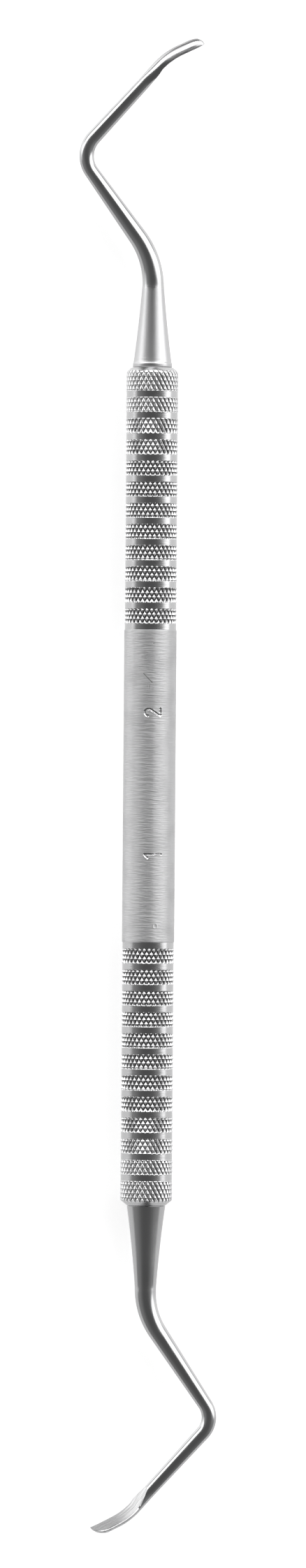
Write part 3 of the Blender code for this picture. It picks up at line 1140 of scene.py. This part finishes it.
def light_above(tree, x, y, z, strength):
    """Returns the light from above the horizon, for a direction x, y, z.

    One large soft light stands beyond tip 2 and comes round on the right, and a dimmer low
    one stands on the left. It is dark overhead and toward tip 1, least so at the sides.
    """
    round_right = times(tree, calculate(tree, "MAXIMUM", x, 0.0, -10, 3), 0.23, -9, 3)
    steep = ramp(tree, x, -0.95, -0.4, 0.64, 0.78, -12, 2)
    steep = blended(tree, ramp(tree, x, 0.24, 0.36, 0.0, 1.0, -12, 3), steep, 0.487, -11, 2)
    reach = calculate(tree, "ADD", y, round_right, -9, 2)
    reach = calculate(tree, "SUBTRACT", reach, times(tree, z, steep, -10, 2), -8, 2)
    back = ramp(tree, reach, -0.14, 0.13, 0.0, strength, -7, 2)
    back = times(tree, back, ramp(tree, y, -0.02, 0.14, 0.66, 1.0, -7, 3), -6, 2)
    left = ramp(tree, z, 0.12, 0.52, LEFT_LEVEL, 0.0, -7, 5)
    left = times(tree, left, ramp(tree, x, -0.9, -0.7, 1.0, 0.0, -7, 6), -6, 5)
    lit = calculate(tree, "MAXIMUM", back, left, -5, 4)
    lit = times(tree, lit, ramp(tree, y, -0.15, -0.02, 0.0, 1.0, -7, 4), -4, 4)
    dark = ramp(tree, times(tree, x, x, -9, 0), 0.0, 1.0, *OVERHEAD_LEVELS, -7, 0)
    return calculate(tree, "MAXIMUM", dark, lit, -3, 2)


def light_below(tree, x, y, z):
    """Returns the light from below the horizon: pale ground, brighter toward tip 2.

    Toward tip 2 a patch on the left is brighter, and a gap far beyond the tip is dark.
    """
    ground = ramp(tree, y, -0.2, 0.2, *GROUND_LEVELS, -7, 12)
    patch = ramp(tree, z, -0.75, -0.58, 0.0, 1.0, -9, 13)
    patch = times(tree, patch, ramp(tree, x, -0.62, -0.48, PATCH_LEVEL, 0.0, -9, 14), -8, 14)
    patch = times(tree, patch, ramp(tree, y, 0.1, 0.3, 0.0, 1.0, -8, 15), -7, 14)
    ground = calculate(tree, "ADD", ground, patch, -5, 12)
    gap = ramp(tree, x, -0.46, -0.34, 0.0, 1.0, -8, 16)
    gap = times(tree, gap, ramp(tree, x, 0.1, 0.2, 1.0, 0.0, -8, 17), -7, 16)
    gap = times(tree, gap, ramp(tree, y, 0.62, 0.74, 0.0, 1.0, -7, 17), -6, 16)
    gap = times(tree, gap, ramp(tree, z, -0.62, -0.42, 0.0, 1.0, -6, 17), -5, 16)
    return blended(tree, gap, ground, GAP_LEVEL, -4, 12)


def dark_line(tree, x, y, z):
    """Returns how far the dark line along the horizon beyond tip 2 covers a direction."""
    level = calculate(tree, "ABSOLUTE", calculate(tree, "ADD", z, 0.05, -6, 20), 0.0, -5, 20)
    line = ramp(tree, level, 0.09, 0.19, 1.0, 0.0, -4, 20)
    line = times(tree, line, ramp(tree, y, 0.36, 0.52, 0.0, 1.0, -4, 21), -3, 20)
    return times(tree, line, ramp(tree, x, -0.1, 0.5, 0.95, 0.88, -3, 21), -2, 20)


def soft_light(tree, strength):
    """Returns the light from every direction, as a value in the world's node tree."""
    split = add_node(tree, "SeparateXYZ", -13, 0)
    feed(tree, add_node(tree, "TexCoord", -14, 0).outputs["Generated"], split.inputs[0])
    x, y, z = split.outputs
    above = light_above(tree, x, y, z, strength)
    below = light_below(tree, x, y, z)
    whole = blended(tree, ramp(tree, z, -0.1, 0.03, 0.0, 1.0, -3, 8), below, above, -2, 6)
    return blended(tree, dark_line(tree, x, y, z), whole, LINE_LEVEL, -1, 8)


def model_world(settings):
    """Lights the scene by a procedural world that looks white to the camera."""
    world = bpy.data.worlds.new("studio")
    bpy.context.scene.world = world
    world.use_nodes = True
    tree = world.node_tree
    node = add_node(tree, "Mix", 0, 4, data_type="RGBA")
    feed(tree, add_node(tree, "LightPath", -2, 3).outputs["Is Camera Ray"], node.inputs[0])
    feed(tree, soft_light(tree, settings.back_light), node.inputs[6])
    node.inputs[7].default_value = (1.0, 1.0, 1.0, 1.0)
    background = tree.nodes["Background"]
    tree.links.new(node.outputs[2], background.inputs["Color"])
    background.inputs["Strength"].default_value = 1.0


def model_floor(settings):
    """Lays a pale floor that keeps the shadow and shines so that the camera sees it white.

    It isn't mirrored in the metal, where the world's pale ground stands in for it.
    """
    half = settings.floor_size / 2
    corners = [(-half, -half, 0.0), (half, -half, 0.0), (half, half, 0.0), (-half, half, 0.0)]
    mesh = bpy.data.meshes.new("floor")
    mesh.from_pydata(corners, [], [(0, 1, 2, 3)])
    floor = bpy.data.objects.new("floor", mesh)
    bpy.context.scene.collection.objects.link(floor)
    material, tree, shader = new_tree("pale_floor")
    shader.inputs["Base Color"].default_value = (*settings.floor_color, 1.0)
    shader.inputs["Roughness"].default_value = FLOOR_ROUGHNESS
    shader.inputs["Emission Color"].default_value = (1.0, 1.0, 1.0, 1.0)
    seen = add_node(tree, "LightPath", -4, 2).outputs["Is Camera Ray"]
    feed(tree, times(tree, seen, FLOOR_GLOW, -2, 2), shader.inputs["Emission Strength"])
    mesh.materials.append(material)
    floor.visible_glossy = False


def model_camera():
    """Sets the camera straight above the handle."""
    data = bpy.data.cameras.new("camera")
    data.lens = CAMERA_LENS
    data.sensor_width = CAMERA_SENSOR
    data.clip_start = 0.01
    data.clip_end = 20.0
    camera = bpy.data.objects.new("camera", data)
    height = PICTURE_LENGTH * CAMERA_LENS / CAMERA_SENSOR + AXIS_HEIGHT / MM
    camera.location = (*CAMERA_PLACE, height)
    camera.rotation_euler = (0.0, 0.0, CAMERA_LEAN)
    bpy.context.scene.collection.objects.link(camera)
    bpy.context.scene.camera = camera


class CURETTE_OT_middle(bpy.types.Operator):
    """Models the handle's plain middle"""

    bl_idname = "curette.middle"
    bl_label = "Plain middle"

    def execute(self, context):
        model_middle(context.scene.curette_pieces)
        return {"FINISHED"}


class CURETTE_OT_grips(bpy.types.Operator):
    """Models the handle's two knurled grips"""

    bl_idname = "curette.grips"
    bl_label = "Knurled grips"

    def execute(self, context):
        for end in SIDES:
            model_grip(end, context.scene.curette_pieces)
        return {"FINISHED"}


class CURETTE_OT_tips(bpy.types.Operator):
    """Models the two tips"""

    bl_idname = "curette.tips"
    bl_label = "Tips"

    def execute(self, context):
        for end in SIDES:
            model_tip(end, context.scene.curette_pieces)
        return {"FINISHED"}


class CURETTE_OT_stage(bpy.types.Operator):
    """Sets up the floor, the light and the camera"""

    bl_idname = "curette.stage"
    bl_label = "Stage"

    def execute(self, context):
        settings = context.scene.curette_stage
        model_world(settings)
        model_floor(settings)
        model_camera()
        context.scene.view_settings.view_transform = "Standard"
        return {"FINISHED"}


OPERATORS = (CURETTE_OT_middle, CURETTE_OT_grips, CURETTE_OT_tips, CURETTE_OT_stage)


class CURETTE_PT_panel(bpy.types.Panel):
    """Lists the curette's sizes and its operators"""

    bl_idname = "CURETTE_PT_panel"
    bl_label = "Surgical curette"
    bl_space_type = "VIEW_3D"
    bl_region_type = "UI"
    bl_category = "Curette"

    def draw(self, context):
        for group in (context.scene.curette_pieces, context.scene.curette_stage):
            for name in group.__annotations__:
                self.layout.prop(group, name)
        for operator in OPERATORS:
            self.layout.operator(operator.bl_idname)


CLASSES = (CurettePieces, CuretteStage, *OPERATORS, CURETTE_PT_panel)


def register():
    """Registers the classes and the scene's settings."""
    for item in CLASSES:
        bpy.utils.register_class(item)
    bpy.types.Scene.curette_pieces = bpy.props.PointerProperty(type=CurettePieces)
    bpy.types.Scene.curette_stage = bpy.props.PointerProperty(type=CuretteStage)


def unregister():
    """Removes the settings and the classes."""
    del bpy.types.Scene.curette_stage
    del bpy.types.Scene.curette_pieces
    for item in reversed(CLASSES):
        bpy.utils.unregister_class(item)


def main():
    register()
    bpy.ops.curette.middle()
    bpy.ops.curette.grips()
    bpy.ops.curette.tips()
    bpy.ops.curette.stage()


if __name__ == "__main__":
    main()
